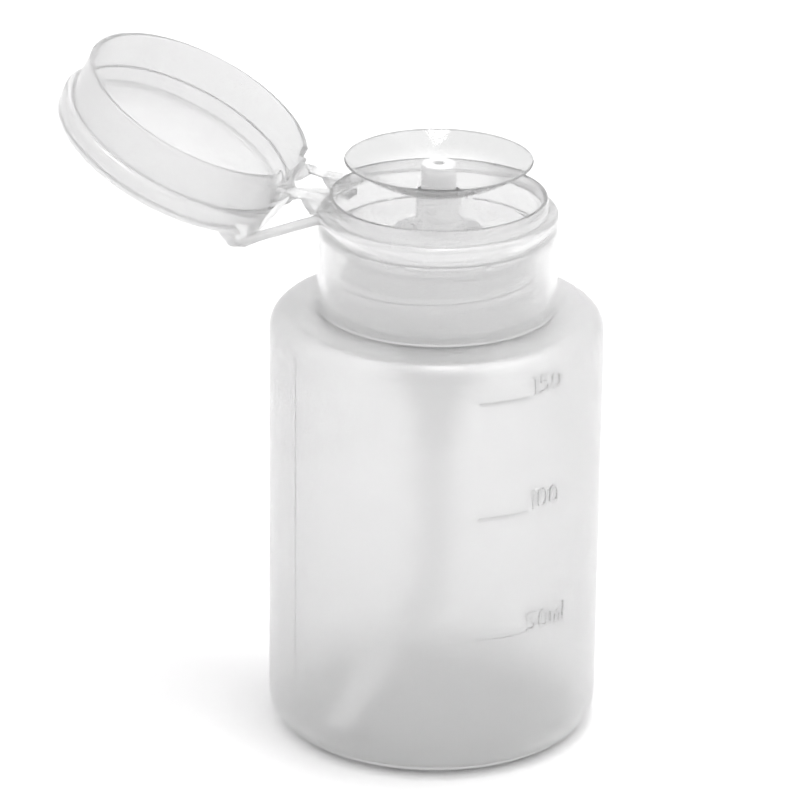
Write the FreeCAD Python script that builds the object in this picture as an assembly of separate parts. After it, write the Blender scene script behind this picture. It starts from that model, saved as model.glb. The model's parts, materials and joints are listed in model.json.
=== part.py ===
import FreeCAD, Part
import math, os

# Push-down dispenser bottle: a translucent graduated bottle, a threaded collar
# with a hinged flip lid, and a spring-return dish pump with a dip tube.
# Millimetres. Origin: centre of the standing ring, on the bottle's axis. +Z up.
# The lid's hinge is on the -X side, its line parallel to Y.

V = FreeCAD.Vector

# ---------------------------------------------------------------- dimensions
# bottle
BODY_R = 28.0            # outer radius of the body
WALL = 1.0               # blown wall
BASE_RAD = 4.6           # outer radius of the base corner
SHOULDER_Z = 74.0        # top of the shoulder
SHOULDER_RAD = 3.5       # rounding between side and shoulder
STAND_R = 20.6           # inner radius of the standing ring
PUSH_UP = 2.2            # height of the base push-up
NECK_R = 15.1            # neck outer radius at the thread root
NECK_BORE = 13.3
NECK_TOP = 84.6
GRAD_Z = (25.1, 47.06, 67.36)        # 50, 100, 150 ml
GRAD_MID = -39.5         # direction of the graduated face, degrees from +X
GRAD_LINE = (-19.3, -1.2)            # arc of each line, degrees from GRAD_MID
GRAD_TEXT = -0.6         # where the numerals start, degrees from GRAD_MID
RELIEF = 0.30            # height of the raised marks
MARK = 0.42              # width of a raised line
SEAM = 0.10              # height of the mould parting line

# screw thread
PITCH = 4.23
THREAD_Z = 77.9          # centre of the neck thread at its start
NECK_TURNS = 1.25
COLLAR_TURNS = 1.0
THREAD_CREST = 16.2
THREAD_GAP = 1.58        # collar thread centre below the neck thread centre

# collar
COLLAR_R = 20.0
COLLAR_BOT = 74.4
LEDGE_Z = 91.55          # the lid closes on this ledge
RING_R = 18.35           # outer radius of the upstanding ring
RING_TOP = 94.0
DECK_TOP = 88.0
DECK_BOT = 86.4
DECK_HOLE = 7.45
SLEEVE_R = 16.5          # inner radius of the threaded sleeve

# lid, given as it is when closed
LID_RIM_Z = 91.72
LID_R = 20.1
LID_BORE = 19.2
LID_STEP_Z = 98.75
LID_CAP_R = 21.55
LID_TOP = 103.2
LID_FLOOR = 102.1
PIVOT_X = -22.45
PIVOT_Z = 93.5
OPEN_DEG = 152.8

# pump
STROKE = 5.5
STEM_R = 3.8
STEM_TOP = 94.4
DISH_RIM_R = 15.66
DISH_RIM_Z = 100.5
POST_R = 2.95            # outlet post in the middle of the dish
DISH_T = 0.65
DISH_RIM_T = 0.36        # the dish thins towards its rim
CHAMBER_R = 6.0
TUBE_R = 2.45
TUBE_BORE = 1.75
TUBE_DIR = -119.8        # heading of the slanted end of the dip tube, degrees
TUBE_TILT = 47.0
TUBE_END = (22.2, 3.2)   # radius and height of the tube's lower end
TUBE_BEND = 12.0

os.makedirs("parts", exist_ok=True)


# ------------------------------------------------------------------- helpers
def outline(points):
    """Closed face in the XZ plane from (r, z) or (r, z, corner radius)."""
    n = len(points)
    cuts = []
    for i in range(n):
        p = points[i]
        c = V(p[0], 0, p[1])
        rad = p[2] if len(p) > 2 else 0.0
        if rad <= 0:
            cuts.append((c, None, c))
            continue
        a = V(points[i - 1][0], 0, points[i - 1][1])
        b = V(points[(i + 1) % n][0], 0, points[(i + 1) % n][1])
        u = (a - c).normalize()
        w = (b - c).normalize()
        half = math.acos(max(-1.0, min(1.0, u.dot(w)))) / 2.0
        t = rad / math.tan(half)
        bis = (u + w).normalize()
        mid = c + bis * (rad / math.sin(half) - rad)
        cuts.append((c + u * t, mid, c + w * t))
    edges = []
    for i in range(n):
        s, m, e = cuts[i]
        if m is not None:
            edges.append(Part.Arc(s, m, e).toShape())
        nxt = cuts[(i + 1) % n][0]
        if (nxt - e).Length > 1e-6:
            edges.append(Part.LineSegment(e, nxt).toShape())
    return Part.Face(Part.Wire(edges))


def lathe(points):
    s = outline(points).revolve(V(0, 0, 0), V(0, 0, 1), 360)
    return s if s.ShapeType == "Solid" else Part.Solid(s.Shells[0])


def slab(points, y0, y1):
    """Prism of an XZ polygon between two Y values."""
    pts = [V(x, y0, z) for x, z in points]
    f = Part.Face(Part.makePolygon(pts + [pts[0]]))
    return f.extrude(V(0, y1 - y0, 0))


def tube(r0, r1, z0, z1):
    return Part.makeCylinder(r1, z1 - z0, V(0, 0, z0)).cut(
        Part.makeCylinder(r0, z1 - z0 + 2, V(0, 0, z0 - 1)))


def spin(shape, deg):
    s = shape.copy()
    s.rotate(V(0, 0, 0), V(0, 0, 1), deg)
    return s


def swing(shape, deg=OPEN_DEG):
    """Turns a shape of the closed lid about the hinge line to its open place."""
    s = shape.copy()
    s.rotate(V(PIVOT_X, 0, PIVOT_Z), V(0, -1, 0), deg)
    return s


def helix_ridge(profile, turns, z0, start_deg):
    path = Part.makeHelix(PITCH, PITCH * turns, profile[0][0])
    pts = [V(r, 0, z) for r, z in profile]
    wire = Part.makePolygon(pts + [pts[0]])
    ridge = Part.Wire(path).makePipeShell([wire], True, True)
    ridge.rotate(V(0, 0, 0), V(0, 0, 1), start_deg)
    ridge.translate(V(0, 0, z0))
    return ridge


def one(shape):
    """The single solid of a boolean result."""
    shape = shape.removeSplitter()
    assert len(shape.Solids) == 1, len(shape.Solids)
    return shape.Solids[0]


def save(name, shape):
    solids = shape.Solids
    ok = shape.isValid() and all(s.isValid() for s in solids)
    print("%-18s solids %d valid %s volume %.1f" % (name, len(solids), ok, shape.Volume))
    shape.exportStep("parts/%s.step" % name)


# -------------------------------------------------------------------- bottle
bottle = lathe([
    (0, PUSH_UP), (17.6, PUSH_UP - 0.3, 2.0), (STAND_R - 0.4, 0, 0.8),
    (BODY_R, 0, BASE_RAD), (BODY_R, SHOULDER_Z, SHOULDER_RAD),
    (NECK_R, SHOULDER_Z + 0.35, 0.6), (NECK_R, NECK_TOP, 0.35),
    (NECK_BORE, NECK_TOP, 0.35), (NECK_BORE, SHOULDER_Z - 0.75, 0.9),
    (BODY_R - WALL, SHOULDER_Z - 1.0, SHOULDER_RAD - 1.0),
    (BODY_R - WALL, WALL, BASE_RAD - 1.0), (STAND_R, WALL, 0.8),
    (17.9, PUSH_UP + 0.75, 2.0), (0, PUSH_UP + 1.0)])

neck_thread = helix_ridge(
    [(14.6, -1.3), (THREAD_CREST, -0.55), (THREAD_CREST, 0.55), (14.6, 1.3)],
    NECK_TURNS, THREAD_Z, 0.0)


def arc_bar(a0, a1, z0, z1, r0, r1):
    """Block of a cylinder wall between two directions, degrees from +X."""
    f = Part.Face(Part.makePolygon([V(r0, 0, z0), V(r1, 0, z0), V(r1, 0, z1), V(r0, 0, z1), V(r0, 0, z0)]))
    s = f.revolve(V(0, 0, 0), V(0, 0, 1), a1 - a0)
    s.rotate(V(0, 0, 0), V(0, 0, 1), a0)
    return s


skin_in, skin_out = BODY_R - 0.25, BODY_R + RELIEF
marks = []
for z in GRAD_Z:
    marks.append(arc_bar(GRAD_MID + GRAD_LINE[0], GRAD_MID + GRAD_LINE[1],
                         z - MARK / 2, z + MARK / 2, skin_in, skin_out))

# numerals: strokes in a flat (s, z) frame, wrapped onto the body by direction
TH = 3.3                 # numeral height
TW = 2.05                # numeral width
ST = 0.46                # stroke
PER_MM = math.degrees(1.0 / BODY_R)


def bar(s0, s1, z0, z1):
    return ("bar", s0, s1, z0, z1)


def ring(s, z, r_out, a0, a1, sx=1.0):
    return ("ring", s, z, r_out, a0, a1, sx)


def glyph(ch):
    if ch == "1":
        return [bar(0.75, 0.75 + ST, 0, TH), bar(0.30, 0.75 + ST, TH - ST, TH)], 1.75
    if ch == "0":
        return [ring(TW / 2, TH - TW / 2, TW / 2, 0, 180), ring(TW / 2, TW / 2, TW / 2, 180, 360),
                bar(0, ST, TW / 2, TH - TW / 2), bar(TW - ST, TW, TW / 2, TH - TW / 2)], TW + 0.5
    if ch == "5":
        r = 1.05
        return [bar(0.1, TW - 0.1, TH - ST, TH), bar(0.1, 0.1 + ST, 2 * r - ST, TH),
                bar(0.1, 0.95, 2 * r - ST, 2 * r), ring(0.95, r, r, -90, 90),
                bar(0.05, 0.95, 0, ST)], TW + 0.5
    if ch == "m":
        x, r, w = 2.2, 0.72, 0.42
        return [bar(0, w, 0, x), ring(r, x - r, r, 0, 180), bar(2 * r - w, 2 * r, 0, x - r),
                ring(3 * r - w, x - r, r, 0, 180), bar(4 * r - 2 * w, 4 * r - w, 0, x - r)], 4 * r - w + 0.45
    if ch == "l":
        return [bar(0.1, 0.1 + ST, 0, TH)], 0.9
    raise ValueError(ch)


def wrapped(stroke, s0, z0):
    """Solid of one stroke that starts s0 along the arc and z0 up the side."""
    base = GRAD_MID + GRAD_TEXT
    if stroke[0] == "bar":
        _, a, b, c, d = stroke
        return arc_bar(base + (s0 + a) * PER_MM, base + (s0 + b) * PER_MM, z0 + c, z0 + d, skin_in, skin_out)
    _, s, z, r, a0, a1, sx = stroke
    rin = r - ST
    d = math.radians(base + (s0 + s) * PER_MM)
    # flat arc stroke in the tangent plane at its centre, then cut to the skin
    f = Part.makeCylinder(r, 3.0, V(0, 0, 0), V(0, 0, 1), a1 - a0).cut(
        Part.makeCylinder(rin, 4.0, V(0, 0, -0.5)))
    f.rotate(V(0, 0, 0), V(0, 0, 1), a0)
    m = FreeCAD.Matrix(-math.sin(d), 0, math.cos(d), (BODY_R - 1.5) * math.cos(d),
                       math.cos(d), 0, math.sin(d), (BODY_R - 1.5) * math.sin(d),
                       0, 1, 0, z0 + z, 0, 0, 0, 1)
    f.transformShape(m, True)
    return f.common(SKIN)


SKIN = tube(skin_in, skin_out, 10, 80)
for z, text in zip(GRAD_Z, ("50ml", "100", "150")):
    s = 0.0
    for ch in text:
        strokes, adv = glyph(ch)
        solid = None
        for st in strokes:
            w = wrapped(st, s, z + 0.35)
            solid = w if solid is None else solid.fuse(w)
        marks.append(solid.removeSplitter())
        s += adv

# mould parting line, both sides, square to the graduated face
for side in (-90.0, 90.0):
    a = GRAD_MID + side
    marks.append(arc_bar(a - 0.35, a + 0.35, BASE_RAD, SHOULDER_Z - SHOULDER_RAD, BODY_R - 0.25, BODY_R + SEAM))

bottle = one(bottle.fuse([neck_thread] + marks))
save("bottle", bottle)

# -------------------------------------------------------------- screw collar
collar = lathe([
    (COLLAR_R, COLLAR_BOT, 0.6), (COLLAR_R, LEDGE_Z, 0.9),
    (RING_R, LEDGE_Z, 0.2), (RING_R - 0.25, RING_TOP, 0.28), (RING_R - 0.88, RING_TOP, 0.28),
    (16.85, DECK_TOP - 0.5, 0.25), (15.95, DECK_TOP - 0.5, 0.2), (15.75, DECK_TOP, 0.2),
    (DECK_HOLE, DECK_TOP, 0.35), (DECK_HOLE, DECK_BOT), (SLEEVE_R, DECK_BOT),
    (SLEEVE_R, 75.7, 0.25), (SLEEVE_R + 1.1, 75.7, 0.25), (SLEEVE_R + 1.1, 87.6, 0.4),
    (COLLAR_R - 1.3, 87.6, 0.4), (COLLAR_R - 1.3, COLLAR_BOT, 0.3)])

gussets = []
for k in range(8):
    g = slab([(17.4, 87.9), (17.4, 87.15), (18.9, 86.9), (18.9, 87.9)], -0.55, 0.55)
    gussets.append(spin(g, -91.8 + 45.0 * k))

start = 60.0
collar_thread = helix_ridge(
    [(17.0, -1.18), (15.4, -0.45), (15.4, 0.45), (17.0, 1.18)],
    COLLAR_TURNS, THREAD_Z + PITCH * start / 360.0 - THREAD_GAP, start)

# hinge lugs on the collar, one each side of the window
LUG = (4.1, 7.3)
lug_poly = [(-18.0, 90.8), (-18.0, 93.1), (-20.2, 93.3), (-21.4, 93.33), (-21.4, 92.77), (-20.95, 91.95), (-19.95, 90.6)]
# strap roots: the straps leave the collar's side below the ledge
STRAP_DIR_C = 20.5       # degrees from the hinge, on the collar
STRAP_W = 3.3
STRAP_T = 1.2
collar_root = []
for sgn in (-1, 1):
    y0, y1 = (LUG[0], LUG[1]) if sgn > 0 else (-LUG[1], -LUG[0])
    collar_root.append(slab(lug_poly, y0, y1))
collar = one(collar.fuse(gussets + [collar_thread] + collar_root))
save("screw_collar", collar)

# ------------------------------------------------------------------ flip lid
lid = lathe([
    (0, LID_FLOOR), (LID_BORE + 0.32, LID_FLOOR, 0.7), (LID_BORE, LID_RIM_Z, 0.3),
    (LID_R, LID_RIM_Z, 0.3), (LID_R, LID_STEP_Z, 0.25), (LID_CAP_R, LID_STEP_Z, 1.0),
    (LID_CAP_R - 0.3, LID_TOP, 1.4), (0, LID_TOP)])
lid_parts = []
lid_lug = [(-19.0, 94.4), (-19.0, 97.1), (-20.4, 96.0), (-21.4, 94.23), (-21.4, 93.67), (-20.75, 93.75)]
# ears on the crown's edge, where the straps end
EAR_DEG = 33.5           # degrees from the hinge, on the lid
EAR_R = 21.1
# the crown is cut flat at the hinge, so that the straps can lie there
flat = Part.makeBox(6, 18.4, 8, V(-25.75, -9.2, LID_STEP_Z - 0.3))
lid = lid.cut(flat)
# slots in the skirt, over the collar's lugs
for sgn in (-1, 1):
    y0, y1 = (LUG[0], LUG[1]) if sgn > 0 else (-LUG[1], -LUG[0])
    lid = lid.cut(Part.makeBox(4.4, y1 - y0 + 0.9, 3.0, V(-21.2, y0 - 0.45, 90.75)))
for sgn in (-1, 1):
    y0, y1 = (LUG[0], LUG[1]) if sgn > 0 else (-LUG[1], -LUG[0])
    lid_parts.append(slab(lid_lug, y0, y1))
    ear = Part.makeBox(4.2, 5.0, 4.3, V(-23.1, -2.5, 100.5))
    ear = ear.makeFillet(1.5, [e for e in ear.Edges if e.BoundBox.XMax < -18.95 - 1e-3 or e.BoundBox.ZMin > 104.7])
    ear = ear.cut(Part.makeCylinder(LID_BORE + 0.6, LID_FLOOR - 93.5, V(0, 0, 94)))
    ear.rotate(V(0, 0, 0), V(0, 0, 1), -sgn * EAR_DEG)
    lid_parts.append(ear)
lid = one(lid.fuse(lid_parts))
save("flip_lid", swing(lid))

# ------------------------------------------- living hinge: films and straps
GAP = 0.08
lid_open = swing(lid)


def clear_of_lid(shape):
    """The largest piece of a shape that stays a hair's gap off the open lid."""
    for v in (V(0, 0, 0), V(GAP, 0, 0), V(-GAP, 0, 0), V(0, GAP, 0), V(0, -GAP, 0), V(0, 0, GAP), V(0, 0, -GAP)):
        tool = lid_open.copy()
        tool.translate(v)
        shape = shape.cut(tool)
    return sorted(shape.Solids, key=lambda q: -q.Volume)[0]


for side, sgn in (("front", -1), ("back", 1)):
    y0, y1 = (LUG[0] + 0.15, LUG[1] - 0.15) if sgn > 0 else (-LUG[1] + 0.15, -LUG[0] - 0.15)
    a = V(-21.4, 0, 93.05)
    b0 = swing(Part.Vertex(V(-21.4, 0, 93.95))).Point
    d = (b0 - a).normalize()
    n = V(-d.z, 0, d.x)
    b = b0 - d * GAP
    t = 0.22
    a0 = a - d * 0.3
    poly = [a0 + n * t, b + n * t, b - n * t, a0 - n * t]
    film = slab([(p.x, p.z) for p in poly], y0, y1).cut(collar)
    save("hinge_web_" + side, clear_of_lid(film))

    ac = math.radians(180.0 - sgn * STRAP_DIR_C)
    c_end = V((COLLAR_R + 0.02) * math.cos(ac), (COLLAR_R + 0.02) * math.sin(ac), 89.75)
    al = math.radians(180.0 - sgn * EAR_DEG)
    l_end = swing(Part.Vertex(V(22.3 * math.cos(al), 22.3 * math.sin(al), 103.4))).Point
    d = (l_end - c_end)
    length = d.Length
    d.normalize()
    wdir = V(0, 1, 0) - d * d.y
    wdir.normalize()
    tdir = d.cross(wdir)
    c0 = c_end - d * 0.9
    corners = [c0 + wdir * (STRAP_W / 2) + tdir * (STRAP_T / 2), c0 - wdir * (STRAP_W / 2) + tdir * (STRAP_T / 2),
               c0 - wdir * (STRAP_W / 2) - tdir * (STRAP_T / 2), c0 + wdir * (STRAP_W / 2) - tdir * (STRAP_T / 2)]
    strap = Part.Face(Part.makePolygon(corners + [corners[0]])).extrude(d * (length + 1.0))
    strap = strap.makeFillet(0.2, [e for e in strap.Edges if e.Length > 5])
    # trimmed to the collar, and to a hair's gap from the ear
    strap = strap.cut(Part.makeCylinder(COLLAR_R, 30, V(0, 0, 70))).cut(collar)
    strap = clear_of_lid(sorted(strap.Solids, key=lambda s: -s.Volume)[0])
    save("hinge_strap_" + side, strap)
    print("strap", side, "length %.2f" % length)

# ---------------------------------------------------------------- press dish
p1, p2, p3 = V(STEM_R, 0, STEM_TOP + 0.1), V(10.6, 0, 96.95), V(DISH_RIM_R - 0.1, 0, DISH_RIM_Z - 0.62)
arc_low = Part.Arc(p1, p2, p3)
cen, rad = arc_low.toShape().Curve.Center, arc_low.toShape().Curve.Radius


def on_arc(r, radius):
    return V(r, 0, cen.z - math.sqrt(radius * radius - (r - cen.x) ** 2))


q1, q2 = on_arc(POST_R, rad - DISH_T), on_arc(9.5, rad - 0.55 * DISH_T - 0.45 * DISH_RIM_T)
end_dir = (p3 - cen).normalize()
q3 = cen + end_dir * (rad - DISH_RIM_T)
rim_mid = cen + end_dir * (rad - DISH_RIM_T / 2) + V(-end_dir.z, 0, end_dir.x) * (DISH_RIM_T / 2)
edges = [
    Part.LineSegment(V(1.9, 0, STEM_TOP), V(STEM_R, 0, STEM_TOP)).toShape(),
    Part.LineSegment(V(STEM_R, 0, STEM_TOP), p1).toShape(),
    arc_low.toShape(),
    Part.Arc(p3, rim_mid, q3).toShape(),
    Part.Arc(q3, q2, q1).toShape(),
    Part.LineSegment(q1, V(POST_R, 0, 99.2)).toShape(),
    Part.Arc(V(POST_R, 0, 99.2), V(POST_R - 0.0879, 0, 99.4121), V(POST_R - 0.3, 0, 99.5)).toShape(),
    Part.LineSegment(V(POST_R - 0.3, 0, 99.5), V(0.95, 0, 99.5)).toShape(),
    Part.LineSegment(V(0.95, 0, 99.5), V(0.95, 0, 98.0)).toShape(),
    Part.LineSegment(V(0.95, 0, 98.0), V(1.9, 0, 98.0)).toShape(),
    Part.LineSegment(V(1.9, 0, 98.0), V(1.9, 0, STEM_TOP)).toShape()]
dish = Part.Face(Part.Wire(edges)).revolve(V(0, 0, 0), V(0, 0, 1), 360)
dish = dish if dish.ShapeType == "Solid" else Part.Solid(dish.Shells[0])
save("press_dish", dish)
print("dish arc centre r %.3f z %.3f radius %.3f" % (cen.x, cen.z, rad))

# ----------------------------------------------------------------- pump stem
stem = lathe([
    (1.3, 80.3), (1.3, 93.4), (1.1, 93.8), (1.1, 97.8), (1.88, 97.8, 0.2), (1.88, STEM_TOP),
    (STEM_R, STEM_TOP, 0.2), (STEM_R, 79.5), (2.95, 79.5), (2.95, 76.5), (2.0, 76.5), (2.0, 80.3)])
save("pump_stem", stem)

piston = lathe([
    (2.97, 76.5), (2.97, 79.5), (4.9, 79.5), (5.3, 81.0), (5.93, 81.2), (5.93, 80.6),
    (5.45, 79.2), (5.45, 77.2), (5.93, 75.95), (5.93, 75.35), (5.35, 75.45), (5.0, 76.5)])
save("piston", piston)

stem_plug = lathe([
    (1.0, 73.8), (3.3, 73.8, 0.3), (3.3, 75.3), (4.7, 75.3), (4.7, 76.5), (1.98, 76.5),
    (1.98, 77.6), (1.6, 77.6), (1.0, 77.0)])
save("stem_plug", stem_plug)

outlet_ball = Part.makeSphere(1.5, V(0, 0, 78.15))
save("outlet_ball", outlet_ball)

# ------------------------------------------------------------- return spring
SPRING_R, WIRE = 4.0, 0.4
SPRING_Z0, SPRING_Z1, SPRING_TURNS = 63.05, 74.85, 6.5
path = Part.makeHelix((SPRING_Z1 - SPRING_Z0) / SPRING_TURNS, SPRING_Z1 - SPRING_Z0, SPRING_R)
circ = Part.Wire(Part.makeCircle(WIRE, V(SPRING_R, 0, 0), V(0, 1, 0)))
spring = Part.Wire(path).makePipeShell([circ], True, True)
spring.translate(V(0, 0, SPRING_Z0))
save("return_spring", spring)
lap = math.hypot(2 * math.pi * SPRING_R, (SPRING_Z1 - SPRING_Z0) / SPRING_TURNS)
print("spring volume by length %.1f" % (math.pi * WIRE ** 2 * lap * SPRING_TURNS))

# -------------------------------------------------------------- pump housing
housing = lathe([
    (7.0, 86.35), (16.0, 86.35, 0.2), (16.0, 85.4, 0.2), (7.9, 85.4, 0.5), (7.9, 83.6, 0.3), (7.2, 83.0),
    (7.2, 61.0, 1.0), (3.6, 57.0, 0.8), (3.6, 50.3, 0.3), (2.5, 50.3), (2.5, 57.2), (1.3, 57.2),
    (1.3, 59.1), (2.6, 60.4), (2.6, 62.0), (CHAMBER_R, 62.0), (CHAMBER_R, 84.6), (7.0, 84.6)])
vent = Part.makeCylinder(0.6, 6, V(4, 0, 81.9), V(1, 0, 0))
housing = one(housing.cut(vent))
save("pump_housing", housing)

chaplet = lathe([
    (3.92, 86.0, 0.2), (3.92, 84.0), (4.6, 83.4), (4.6, 81.5), (5.85, 81.5, 0.2), (5.85, 84.6), (6.95, 84.6), (6.95, 86.0, 0.2)])
ribs = []
for k in range(12):
    ribs.append(spin(slab([(4.5, 85.8), (6.5, 85.8), (6.5, 86.3), (4.5, 86.5)], -0.3, 0.3), 30.0 * k + 15.0))
chaplet = one(chaplet.fuse(ribs))
save("chaplet", chaplet)

cage = lathe([
    (2.65, 62.0), (5.6, 62.0), (5.6, 62.6), (3.35, 62.6), (3.35, 64.8, 0.3), (1.0, 64.8), (1.0, 64.05), (2.65, 64.05)])
for k in range(4):
    w = Part.makeBox(2.4, 1.4, 1.2, V(2.2, -0.7, 62.75))
    cage = cage.cut(spin(w, 90.0 * k))
cage = one(cage)
save("ball_cage", cage)

inlet_ball = Part.makeSphere(2.0, V(0, 0, 60.66))
save("inlet_ball", inlet_ball)

gasket = lathe([(13.5, 84.65), (15.6, 84.65), (15.6, 85.4), (13.5, 85.4)])
save("neck_gasket", gasket)

# ------------------------------------------------------------------ dip tube
th = math.radians(TUBE_TILT)
hd = V(math.cos(math.radians(TUBE_DIR)), math.sin(math.radians(TUBE_DIR)), 0)
end = hd * TUBE_END[0] + V(0, 0, TUBE_END[1])
apex_z = TUBE_END[1] + TUBE_END[0] / math.tan(th)
tan_len = TUBE_BEND * math.tan(th / 2)
slope = hd * math.sin(th) - V(0, 0, math.cos(th))
top = V(0, 0, 57.1)
b0 = V(0, 0, apex_z + tan_len)
b1 = V(0, 0, apex_z) + slope * tan_len
ctr = b0 + hd * TUBE_BEND
mid = ctr + (V(0, 0, apex_z) - ctr).normalize() * TUBE_BEND
path = Part.Wire([Part.LineSegment(top, b0).toShape(), Part.Arc(b0, mid, b1).toShape(), Part.LineSegment(b1, end).toShape()])
section = [Part.Wire(Part.makeCircle(r, top, V(0, 0, -1))) for r in (TUBE_R, TUBE_BORE)]
outer = path.makePipeShell([section[0]], True, True)
inner = path.makePipeShell([section[1]], True, True)
dip = one(outer.cut(inner))
save("dip_tube", dip)
print("tube volume by length %.1f, bend radius %.1f" % (math.pi * (TUBE_R ** 2 - TUBE_BORE ** 2) * path.Length, TUBE_BEND))
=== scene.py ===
import bpy, bmesh, json, math
from mathutils import Vector, Matrix


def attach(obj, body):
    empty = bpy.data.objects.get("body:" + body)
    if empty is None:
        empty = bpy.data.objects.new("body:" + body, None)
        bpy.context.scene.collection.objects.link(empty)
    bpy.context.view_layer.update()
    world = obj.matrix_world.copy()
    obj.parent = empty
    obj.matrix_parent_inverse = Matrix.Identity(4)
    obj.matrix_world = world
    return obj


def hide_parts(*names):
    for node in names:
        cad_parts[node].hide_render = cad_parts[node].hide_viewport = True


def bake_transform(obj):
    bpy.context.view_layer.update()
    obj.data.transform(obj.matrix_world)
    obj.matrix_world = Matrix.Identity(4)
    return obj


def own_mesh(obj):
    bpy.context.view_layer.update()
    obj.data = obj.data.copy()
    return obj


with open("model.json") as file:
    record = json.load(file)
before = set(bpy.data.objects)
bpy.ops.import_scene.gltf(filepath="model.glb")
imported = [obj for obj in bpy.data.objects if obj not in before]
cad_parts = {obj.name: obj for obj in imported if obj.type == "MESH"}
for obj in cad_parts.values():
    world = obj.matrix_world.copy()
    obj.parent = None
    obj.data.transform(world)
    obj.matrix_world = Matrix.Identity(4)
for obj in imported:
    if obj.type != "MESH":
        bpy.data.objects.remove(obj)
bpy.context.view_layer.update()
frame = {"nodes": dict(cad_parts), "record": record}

scene = bpy.context.scene
nodes = frame["nodes"]

# ------------------------------------------------------------------ camera
# Viewed from 16.2 degrees round from the -Y side, so the hinge is at the left.
AZ = math.radians(16.2)
dist, height = 0.7278, 0.3514
psi, th, roll = math.radians(-0.472), math.radians(22.01), math.radians(0.62)
fw = Vector((math.sin(psi) * math.cos(th), math.cos(psi) * math.cos(th), -math.sin(th)))
right = Vector((math.cos(psi), -math.sin(psi), 0))
up = right.cross(fw)
r2 = right * math.cos(roll) + up * math.sin(roll)
u2 = -right * math.sin(roll) + up * math.cos(roll)
turn = Matrix.Rotation(AZ, 3, "Z")
pos, r2, u2, back = (turn @ v for v in (Vector((0, -dist, height)), r2, u2, -fw))
cam_data = bpy.data.cameras.new("camera")
cam = bpy.data.objects.new("camera", cam_data)
scene.collection.objects.link(cam)
cam.matrix_world = Matrix(((r2.x, u2.x, back.x, pos.x), (r2.y, u2.y, back.y, pos.y),
                           (r2.z, u2.z, back.z, pos.z), (0, 0, 0, 1)))
cam_data.sensor_fit = "HORIZONTAL"
cam_data.sensor_width = 36.0
cam_data.lens = 4663 * 36.0 / 800
cam_data.clip_start = 0.01
cam_data.clip_end = 50
scene.camera = cam

# ------------------------------------------------------------------- stage
bpy.ops.mesh.primitive_plane_add(size=20, location=(0, 0, -0.0002))
floor = bpy.context.object
floor.name = "floor"


class Tree:
    """Small helper for writing node trees."""

    def __init__(self, name):
        self.mat = bpy.data.materials.new(name)
        self.mat.use_nodes = True
        self.t = self.mat.node_tree
        self.t.nodes.clear()
        self.out = self.add("ShaderNodeOutputMaterial")

    def add(self, kind, **props):
        n = self.t.nodes.new(kind)
        for k, v in props.items():
            setattr(n, k, v)
        return n

    def link(self, a, b):
        self.t.links.new(a, b)

    def put(self, node, **values):
        for k, v in values.items():
            node.inputs[k.replace("_", " ")].default_value = v
        return node

    def noise(self, scale, detail=2.0, rough=0.5, stretch=None):
        coord = self.add("ShaderNodeTexCoord")
        vec = coord.outputs["Object"]
        if stretch:
            mp = self.add("ShaderNodeMapping")
            mp.inputs["Scale"].default_value = stretch
            self.link(vec, mp.inputs["Vector"])
            vec = mp.outputs["Vector"]
        n = self.add("ShaderNodeTexNoise")
        self.put(n, Scale=scale, Detail=detail, Roughness=rough)
        self.link(vec, n.inputs["Vector"])
        return n.outputs["Fac"]

    def span(self, value, lo, hi, a=0.35, b=0.65):
        m = self.add("ShaderNodeMapRange")
        self.put(m, From_Min=a, From_Max=b, To_Min=lo, To_Max=hi)
        self.link(value, m.inputs["Value"])
        return m.outputs["Result"]

    def tint(self, fac, a, b):
        m = self.add("ShaderNodeMix", data_type="RGBA")
        m.inputs[6].default_value = (*a, 1)
        m.inputs[7].default_value = (*b, 1)
        self.link(fac, m.inputs[0])
        return m.outputs[2]

    def bumps(self, *layers):
        """layers of (height, distance); chained bump nodes."""
        normal = None
        for h, d in layers:
            b = self.add("ShaderNodeBump")
            self.put(b, Strength=1.0, Distance=d)
            self.link(h, b.inputs["Height"])
            if normal is not None:
                self.link(normal, b.inputs["Normal"])
            normal = b.outputs["Normal"]
        return normal


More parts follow.
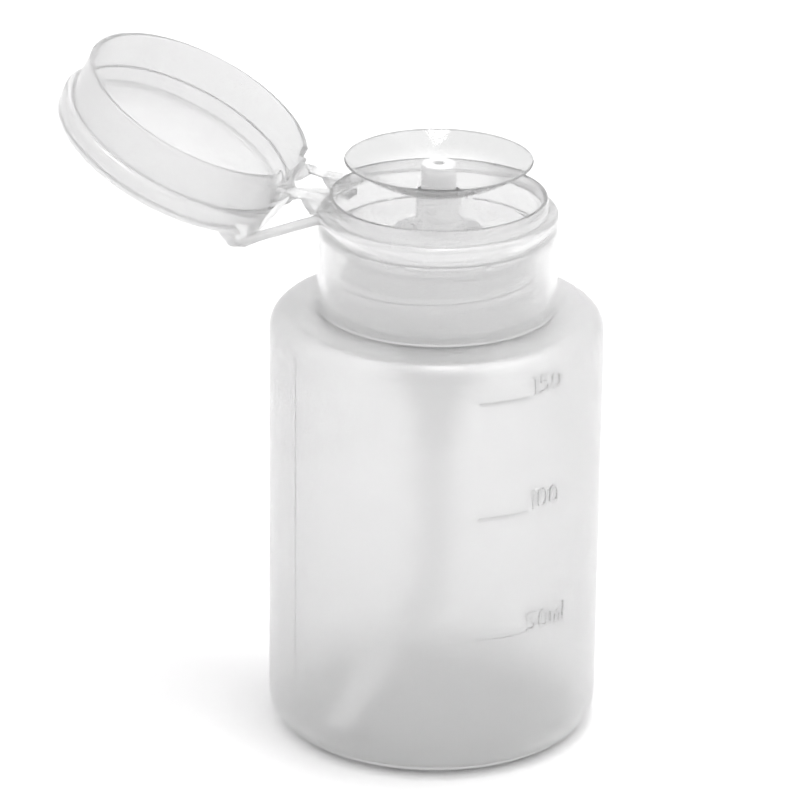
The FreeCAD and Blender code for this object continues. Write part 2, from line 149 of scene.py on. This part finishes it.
def plastic(name, light, dark, trans, rough, ior=1.5, cloud=140.0, grain=1500.0, grain_d=4e-6,
            flow=None, flow_d=8e-6, spread=0.04, specular=0.5, coat=None, shade=None):
    """Moulded translucent plastic: cloudy tint, uneven gloss, moulding flow and fine surface grain."""
    k = Tree(name)
    p = k.add("ShaderNodeBsdfPrincipled")
    p.inputs["Transmission Weight"].default_value = trans
    p.inputs["IOR"].default_value = ior
    p.inputs["Specular IOR Level"].default_value = specular
    if coat:
        p.inputs["Coat Weight"].default_value = coat[0]
        p.inputs["Coat Roughness"].default_value = coat[1]
        p.inputs["Coat IOR"].default_value = 1.5
    cl = k.noise(cloud, 3.0, 0.55)
    colour = k.tint(k.span(cl, 0, 1), light, dark)
    # optional painted shade: the base colour is scaled by distance from the axis, smoothstep from To Min to To Max
    if shade:
        flat = k.add("ShaderNodeMapping")
        flat.inputs["Scale"].default_value = (1, 1, 0)
        k.link(k.add("ShaderNodeTexCoord").outputs["Object"], flat.inputs["Vector"])
        away = k.add("ShaderNodeVectorMath", operation="LENGTH")
        k.link(flat.outputs["Vector"], away.inputs[0])
        m = k.add("ShaderNodeMapRange", interpolation_type="SMOOTHSTEP")
        k.put(m, From_Min=shade[0], From_Max=shade[1], To_Min=shade[2], To_Max=shade[3])
        k.link(away.outputs["Value"], m.inputs["Value"])
        dim = k.add("ShaderNodeMix", data_type="RGBA", blend_type="MULTIPLY")
        dim.inputs[0].default_value = 1.0
        k.link(colour, dim.inputs[6])
        k.link(m.outputs["Result"], dim.inputs[7])
        colour = dim.outputs[2]
    k.link(colour, p.inputs["Base Color"])
    gl = k.noise(cloud * 2.3, 2.0)
    k.link(k.span(gl, max(0.0, rough - spread), rough + spread), p.inputs["Roughness"])
    layers = [(k.noise(grain, 2.0), grain_d)]
    if flow:
        layers.append((k.noise(1.0, 2.0, 0.5, flow), flow_d))
    k.link(k.bumps(*layers), p.inputs["Normal"])
    k.link(p.outputs[0], k.out.inputs["Surface"])
    return k.mat


def steel(name):
    k = Tree(name)
    p = k.add("ShaderNodeBsdfPrincipled")
    p.inputs["Metallic"].default_value = 1.0
    n = k.noise(900.0, 3.0)
    k.link(k.tint(k.span(n, 0, 1), (0.62, 0.62, 0.63), (0.50, 0.50, 0.52)), p.inputs["Base Color"])
    k.link(k.span(k.noise(2500.0), 0.16, 0.30), p.inputs["Roughness"])
    k.link(k.bumps((k.noise(6000.0), 2e-6)), p.inputs["Normal"])
    k.link(p.outputs[0], k.out.inputs["Surface"])
    return k.mat


def foam(name):
    k = Tree(name)
    p = k.add("ShaderNodeBsdfPrincipled")
    p.inputs["Roughness"].default_value = 0.8
    n = k.noise(3000.0, 3.0)
    k.link(k.tint(k.span(n, 0, 1), (0.66, 0.66, 0.66), (0.58, 0.58, 0.58)), p.inputs["Base Color"])
    v = k.add("ShaderNodeTexVoronoi")
    k.put(v, Scale=2600.0)
    k.link(k.add("ShaderNodeTexCoord").outputs["Object"], v.inputs["Vector"])
    k.link(k.bumps((v.outputs["Distance"], 6e-5)), p.inputs["Normal"])
    k.link(p.outputs[0], k.out.inputs["Surface"])
    return k.mat


def pale_floor(name):
    k = Tree(name)
    p = k.add("ShaderNodeBsdfPrincipled")
    p.inputs["Roughness"].default_value = 0.9
    p.inputs["Specular IOR Level"].default_value = 0.0
    p.inputs["Base Color"].default_value = (0.93, 0.93, 0.93, 1)
    k.link(p.outputs[0], k.out.inputs["Surface"])
    return k.mat


floor.data.materials.append(pale_floor("pale_floor"))

# ------------------------------------------------------------------- light
FRONT = turn @ Vector((0, -1, 0))
world = bpy.data.worlds.new("studio")
scene.world = world
world.use_nodes = True
wt = world.node_tree
wt.nodes.clear()
w_out = wt.nodes.new("ShaderNodeOutputWorld")
w_bg = wt.nodes.new("ShaderNodeBackground")
w_co = wt.nodes.new("ShaderNodeTexCoord")
w_dot = wt.nodes.new("ShaderNodeVectorMath")
w_dot.operation = "DOT_PRODUCT"
w_dot.inputs[1].default_value = FRONT
w_map = wt.nodes.new("ShaderNodeMapRange")
w_map.interpolation_type = "SMOOTHSTEP"
w_map.inputs["From Min"].default_value = -0.35
w_map.inputs["From Max"].default_value = 0.9
w_map.inputs["To Min"].default_value = 0.99
w_map.inputs["To Max"].default_value = 0.855
wt.links.new(w_co.outputs["Generated"], w_dot.inputs[0])
wt.links.new(w_dot.outputs["Value"], w_map.inputs["Value"])
w_up = wt.nodes.new("ShaderNodeSeparateXYZ")
w_top = wt.nodes.new("ShaderNodeMapRange")
w_top.interpolation_type = "SMOOTHSTEP"
w_top.inputs["From Min"].default_value = 0.25
w_top.inputs["From Max"].default_value = 1.0
w_top.inputs["To Min"].default_value = 1.0
w_top.inputs["To Max"].default_value = 1.25
w_mul = wt.nodes.new("ShaderNodeMath")
w_mul.operation = "MULTIPLY"
wt.links.new(w_co.outputs["Generated"], w_up.inputs[0])
wt.links.new(w_up.outputs["Z"], w_top.inputs["Value"])
wt.links.new(w_map.outputs["Result"], w_mul.inputs[0])
wt.links.new(w_top.outputs["Result"], w_mul.inputs[1])
wt.links.new(w_mul.outputs[0], w_bg.inputs["Strength"])
w_bg.inputs["Color"].default_value = (1, 1, 1, 1)
wt.links.new(w_bg.outputs[0], w_out.inputs["Surface"])


def area(name, where, aim, size, watts):
    d = bpy.data.lights.new(name, "AREA")
    d.shape = "RECTANGLE"
    d.size, d.size_y = size
    d.energy = watts
    o = bpy.data.objects.new(name, d)
    scene.collection.objects.link(o)
    o.location = where
    o.rotation_euler = (Vector(aim) - Vector(where)).to_track_quat("-Z", "Y").to_euler()
    return o


area("top_soft_box", turn @ Vector((0.25, -0.08, 1.0)), (0, 0, 0.07), (0.9, 0.7), 2.3)
area("top_small_box", turn @ Vector((0.05, 0.03, 1.05)), (0, 0, 0.07), (0.30, 0.16), 2.0)

scene.view_settings.view_transform = "Standard"
scene.view_settings.look = "None"
scene.cycles.use_denoising = True
scene.cycles.denoising_input_passes = "RGB"
scene.cycles.max_bounces = 256
scene.cycles.transmission_bounces = 256
scene.cycles.glossy_bounces = 128
scene.cycles.diffuse_bounces = 128
scene.cycles.transparent_max_bounces = 16
scene.cycles.blur_glossy = 0.5
scene.cycles.sample_clamp_indirect = 10.0

# --------------------------------------------------------------- materials
MATS = {
    "bottle_pe": plastic("bottle_polyethylene", (0.955, 0.955, 0.955), (0.94, 0.94, 0.94), 0.8, 0.32,
                         flow=(260.0, 260.0, 9.0), flow_d=1.2e-5, coat=(0.4, 0.2)),
    "collar_pp": plastic("collar_polypropylene", (0.999, 0.999, 0.999), (0.997, 0.997, 0.997), 0.76, 0.10, ior=1.2,
                         coat=(0.5, 0.1)),
    "lid_pp": plastic("lid_polypropylene", (0.895, 0.895, 0.895), (0.88, 0.88, 0.88), 0.72, 0.16, ior=1.38,
                      coat=(0.2, 0.2)),
    # painted shade: the dish's base colour darkens toward its rim through the shade gradient
    "dish_clear": plastic("clear_dish_rim_painted_shade", (0.96, 0.96, 0.96), (0.95, 0.95, 0.95), 0.92, 0.03, ior=1.15,
                          spread=0.01, grain_d=1e-6, coat=(0.35, 0.05), shade=(0.007, 0.013, 1.0, 0.70)),
    "pump_pp": plastic("pump_polypropylene", (0.999, 0.999, 0.999), (0.996, 0.996, 0.996), 0.15, 0.3),
    "tube_pe": plastic("dip_tube_polyethylene", (0.995, 0.995, 0.995), (0.99, 0.99, 0.99), 0.08, 0.35),
    "spring_steel": steel("spring_steel"),
    "ball_steel": steel("ball_steel"),
    "gasket_foam": foam("gasket_foam"),
}
DECK = plastic("collar_deck_polypropylene", (0.985, 0.985, 0.985), (0.975, 0.975, 0.975), 0.2, 0.25, coat=(0.3, 0.1))
# painted shade: the collar's ring and ledge are a darker copy of the collar plastic, against the bright light from
# above
UPPER_PAINTED_SHADE = plastic("collar_ring_painted_shade", (0.87, 0.87, 0.87), (0.86, 0.86, 0.86), 0.75, 0.22, coat=(0.4, 0.1))
# painted shade: dark thin lines on clear edges, for the darkening that such edges show
EDGE_PAINTED_SHADE = plastic("thin_edge_painted_shade", (0.52, 0.52, 0.52), (0.48, 0.48, 0.48), 0.8, 0.1, ior=1.2)
SLEEVE = plastic("collar_sleeve_polypropylene", (0.999, 0.999, 0.999), (0.996, 0.996, 0.996), 0.96, 0.08, ior=1.2, spread=0.02)
# painted shade: the underside of the collar's ring block, over the unlit gap
GAP_PAINTED_SHADE = plastic("collar_underside_painted_shade", (0.80, 0.80, 0.80), (0.78, 0.78, 0.78), 0.7, 0.2, ior=1.3)
# milky near-white plastic, partly for thick places and partly painted light: lightened thread ridges, collar bottom
# rim, gusset nubs and bottle under the collar
MILKY_PAINTED_LIGHT = plastic("milky_plastic_painted_light", (0.999, 0.999, 0.999), (0.996, 0.996, 0.996), 0.1, 0.2, coat=(0.3, 0.1))
POST = plastic("dish_post", (0.99, 0.99, 0.99), (0.985, 0.985, 0.985), 0.36, 0.06, ior=1.35, coat=(0.3, 0.05))
# painted shade: the neck between the thread ridges is drawn dark, as if in shade behind the collar
NECK_PAINTED_SHADE = plastic("bottle_neck_painted_shade", (0.80, 0.80, 0.80), (0.78, 0.78, 0.78), 0.1, 0.35)
# painted shadow: the shoulder's base colour darkens close to the neck, under the collar's rim
SHOULDER_PAINTED_SHADE = plastic("bottle_shoulder_painted_shade", (0.955, 0.955, 0.955), (0.94, 0.94, 0.94), 0.8, 0.32,
                   flow=(260.0, 260.0, 9.0), flow_d=1.2e-5, coat=(0.4, 0.2), shade=(0.0195, 0.0235, 0.90, 1.0))
SEAM = plastic("mould_line_polyethylene", (0.95, 0.95, 0.95), (0.935, 0.935, 0.935), 0.75, 0.3)
# painted shade: the bottle's floor is drawn darker where it rests on the ground in shadow
BASE_PAINTED_SHADE = plastic("bottle_base_painted_shade", (0.78, 0.78, 0.78), (0.75, 0.75, 0.75), 0.5, 0.4)
# painted highlight: a light rim line along the bottle's bottom edge
FOOT_PAINTED_HIGHLIGHT = plastic("bottle_foot_painted_highlight", (0.93, 0.93, 0.93), (0.91, 0.91, 0.91), 0.4, 0.3)
# painted shade: the raised graduation marks are drawn darker in place of the shade along their edges
MARKS_PAINTED_SHADE = plastic("raised_marks_painted_shade", (0.70, 0.70, 0.70), (0.67, 0.67, 0.67), 0.5, 0.3, coat=(0.3, 0.15))
HINGE = plastic("hinge_polypropylene", (0.90, 0.90, 0.90), (0.88, 0.88, 0.88), 0.5, 0.25, ior=1.3, coat=(0.3, 0.15))
# painted light: the lid's crown is a lighter, milkier copy of the lid plastic, against its dark edge
CROWN_PAINTED_LIGHT = plastic("lid_crown_painted_light", (0.95, 0.95, 0.95), (0.935, 0.935, 0.935), 0.4, 0.2, ior=1.3, coat=(0.2, 0.2))
# painted shade: the lid's centre panel is a darker copy of the lid plastic
PANEL_PAINTED_SHADE = plastic("lid_panel_painted_shade", (0.85, 0.85, 0.85), (0.835, 0.835, 0.835), 0.72, 0.16, ior=1.38, coat=(0.2, 0.2))
# painted shade: dark lines at the lid's step corner and rim
CORNER_PAINTED_SHADE = plastic("lid_corner_painted_shade", (0.66, 0.66, 0.66), (0.62, 0.62, 0.62), 0.7, 0.16, ior=1.3)
for sub in frame["record"]["subparts"]:
    o = nodes[sub["node"]]
    o.data.materials.clear()
    o.data.materials.append(MATS[sub["material_slot"]])



MM = 0.001
PIVOT = Vector((-22.45, 0, 93.5)) * MM
OPEN = math.radians(152.8)


def swing(p):
    """A point of the shut lid, with the lid open."""
    d = p - PIVOT
    c, s = math.cos(OPEN), math.sin(OPEN)
    return PIVOT + Vector((d.x * c - d.z * s, d.y, d.x * s + d.z * c))


def shut(p):
    """A point of the open lid, with the lid shut."""
    d = p - PIVOT
    c, s = math.cos(OPEN), math.sin(OPEN)
    return PIVOT + Vector((d.x * c + d.z * s, d.y, d.z * c - d.x * s))


def paint(node, mat, where, at=lambda p: p):
    """Gives the faces of a node that where(radius, height) picks, in mm, a material of their own."""
    me = nodes[node].data
    me.materials.append(mat)
    for f in me.polygons:
        c = at(f.center)
        if where(1000 * math.hypot(c.x, c.y), 1000 * c.z):
            f.material_index = len(me.materials) - 1


# the thicker a moulding is, the milkier it looks, so its thick and thin places differ; most face groups below are
# painted light and shade as well: lighter or darker copies of a plastic where light or shade falls, and dark lines at
# edges
# painted shade on the collar's ring and ledge
paint("screw_collar", UPPER_PAINTED_SHADE, lambda r, z: z > 87.8)
# painted shade on the underside of the ring block
paint("screw_collar", GAP_PAINTED_SHADE, lambda r, z: 17.3 < r < 18.9 and 87.4 < z < 87.8)
paint("screw_collar", DECK, lambda r, z: 86.2 < z < 88.2 and r < 16.4)
paint("screw_collar", SLEEVE, lambda r, z: r < 17.9 and z < 86.2)
# painted light: the collar's inner thread ridge, its bottom rim and the gusset nubs are lightened (thick and milkier
# as well)
paint("screw_collar", MILKY_PAINTED_LIGHT, lambda r, z: r < 16.3 and z < 86.2)
paint("screw_collar", MILKY_PAINTED_LIGHT, lambda r, z: z < 74.95 or (17.4 < r < 18.6 and 86.7 < z < 87.5))
# painted light on the lid's crown
paint("flip_lid", CROWN_PAINTED_LIGHT, lambda r, z: 20.0 < r < 21.7 and z > 101.8, shut)
# painted shade on the lid's centre panel
paint("flip_lid", PANEL_PAINTED_SHADE, lambda r, z: r < 19.6 and z > 101.4, shut)
# painted shade on the lid's step corner and rim
paint("flip_lid", CORNER_PAINTED_SHADE, lambda r, z: 20.0 < r < 20.5 and 98.4 < z < 98.8, shut)
paint("flip_lid", CORNER_PAINTED_SHADE, lambda r, z: 19.3 < r < 20.0 and z < 91.8, shut)
paint("press_dish", POST, lambda r, z: r < 3.05 and z > 95.2)
paint("screw_collar", HINGE, lambda r, z: r > 18.5 and z > 91.62)
# painted shade: dark lines on the ring's top edge and the dish's rim
paint("screw_collar", EDGE_PAINTED_SHADE, lambda r, z: r < 18.3 and z > 93.9)
paint("press_dish", EDGE_PAINTED_SHADE, lambda r, z: r > 15.2 and z > 99.85)
# painted shadow on the shoulder under the collar
paint("bottle", SHOULDER_PAINTED_SHADE, lambda r, z: r < 25.0 and z > 72.0)
# painted light: the shoulder top and the neck just under the collar are lightened
paint("bottle", MILKY_PAINTED_LIGHT, lambda r, z: r < 19.4 and 73.6 < z < 75.0)
paint("bottle", MILKY_PAINTED_LIGHT, lambda r, z: r < 15.4 and 74.6 < z <= 77.2)
# painted shade on the neck between the thread ridges
paint("bottle", NECK_PAINTED_SHADE, lambda r, z: r < 15.4 and z > 77.2)
# painted light: the neck's thread ridge is lightened (thick and milkier as well)
paint("bottle", MILKY_PAINTED_LIGHT, lambda r, z: 15.4 < r < 16.5 and z > 74.6)
# painted shade on the raised marks
paint("bottle", MARKS_PAINTED_SHADE, lambda r, z: r > 28.14)
paint("bottle", SEAM, lambda r, z: 28.02 < r < 28.14)
# painted highlight on the bottom-edge fillet
paint("bottle", FOOT_PAINTED_HIGHLIGHT, lambda r, z: r > 25.0 and z < 1.7)
# painted shade on the bottle's floor
paint("bottle", BASE_PAINTED_SHADE, lambda r, z: r < 25.6 and z < 4.2)


# ------------------------------------------------------------------ pieces
def mesh_object(name, verts, faces, mat):
    me = bpy.data.meshes.new(name)
    me.from_pydata([tuple(v) for v in verts], [], faces)
    me.validate()
    bm = bmesh.new()
    bm.from_mesh(me)
    bmesh.ops.recalc_face_normals(bm, faces=bm.faces)
    bm.to_mesh(me)
    bm.free()
    for f in me.polygons:
        f.use_smooth = True
    me.materials.append(mat)
    o = bpy.data.objects.new(name, me)
    scene.collection.objects.link(o)
    return o


def superellipse(n, power):
    """Points of a rounded rectangle of half-sides 1, evenly turned."""
    pts = []
    for i in range(n):
        a = 2 * math.pi * i / n
        c, s = math.cos(a), math.sin(a)
        pts.append((math.copysign(abs(c) ** (2 / power), c), math.copysign(abs(s) ** (2 / power), s)))
    return pts


def sweep(name, rings, mat):
    """A closed skin over rings of points, with each end closed by a fan to its centre."""
    n = len(rings[0])
    verts = [p for r in rings for p in r]
    faces = []
    for k in range(len(rings) - 1):
        for i in range(n):
            j = (i + 1) % n
            faces.append((k * n + i, k * n + j, (k + 1) * n + j, (k + 1) * n + i))
    for k, first in ((0, True), (len(rings) - 1, False)):
        centre = sum((Vector(p) for p in rings[k]), Vector()) / n
        verts.append(centre)
        c = len(verts) - 1
        for i in range(n):
            j = (i + 1) % n
            faces.append((c, k * n + j, k * n + i) if first else (c, k * n + i, k * n + j))
    return mesh_object(name, verts, faces, mat)


def smooth(a, b, x):
    t = min(max((x - a) / (b - a), 0.0), 1.0)
    return t * t * (3 - 2 * t)


for side, sgn in (("front", -1), ("back", 1)):
    # strap: a moulded bar with soft edges, thicker where it runs into the ear
    ac, al = math.radians(180 - sgn * 20.5), math.radians(180 - sgn * 33.5)
    c_end = Vector((20.02 * math.cos(ac), 20.02 * math.sin(ac), 89.75)) * MM
    l_end = swing(Vector((22.3 * math.cos(al), 22.3 * math.sin(al), 103.4)) * MM)
    d = (l_end - c_end).normalized()
    wdir = (Vector((0, 1, 0)) - d * d.y).normalized()
    tdir = d.cross(wdir)
    length = (l_end - c_end).length
    rings = []
    section = superellipse(40, 4.5)
    s0, s1, steps = -0.35 * MM, length - 0.1 * MM, 40
    for k in range(steps + 1):
        s = s0 + (s1 - s0) * k / steps
        t = s / length
        grow = 0.35 * smooth(0.72, 1.0, t) + 0.10 * smooth(0.10, 0.0, t)
        w = 1.62 * (1 + 0.6 * grow) * MM
        h = 0.58 * (1 + grow) * MM
        c = c_end + d * s
        rings.append([c + wdir * (w * a) + tdir * (h * b) for a, b in section])
    strap = sweep("strap_" + side, rings, HINGE)
    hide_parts("hinge_strap_" + side)
    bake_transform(strap)

    # film: thin in the middle, running into the lugs at both ends
    ym = sgn * 5.7 * MM
    a = Vector((-21.05, 0, 93.05)) * MM
    b = swing(Vector((-21.05, 0, 93.95)) * MM)
    d = (b - a).normalized()
    n = Vector((-d.z, 0, d.x))
    rings = []
    section = superellipse(40, 6.0)
    for k in range(33):
        t = k / 32
        h = (0.20 + 0.09 * abs(2 * t - 1) ** 3) * MM
        c = a.lerp(b, t) + Vector((0, ym, 0))
        rings.append([c + Vector((0, 1.52 * MM * p, 0)) + n * (h * q) for p, q in section])
    film = sweep("film_" + side, rings, HINGE)
    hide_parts("hinge_web_" + side)
    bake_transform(film)

# return spring: round wire coiled at an even pitch, inside the pump
rings = []
turns, per = 6.5, 44
total = int(turns * per)
for k in range(total + 1):
    t = k / total
    ang = 2 * math.pi * turns * t
    z = 63.05 + 11.8 * t
    c = Vector((4.0 * math.cos(ang), 4.0 * math.sin(ang), z)) * MM
    out = Vector((math.cos(ang), math.sin(ang), 0))
    rise = 11.8 / (2 * math.pi * turns * 4.0)
    along = Vector((-math.sin(ang), math.cos(ang), rise)).normalized()
    up_w = along.cross(out).normalized()
    rings.append([c + (out * math.cos(q) + up_w * math.sin(q)) * (0.4 * MM)
                  for q in (2 * math.pi * i / 14 for i in range(14))])
coil = sweep("coil_spring", rings, MATS["spring_steel"])
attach(coil, "pump_engine")
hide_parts("return_spring")
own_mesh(coil)
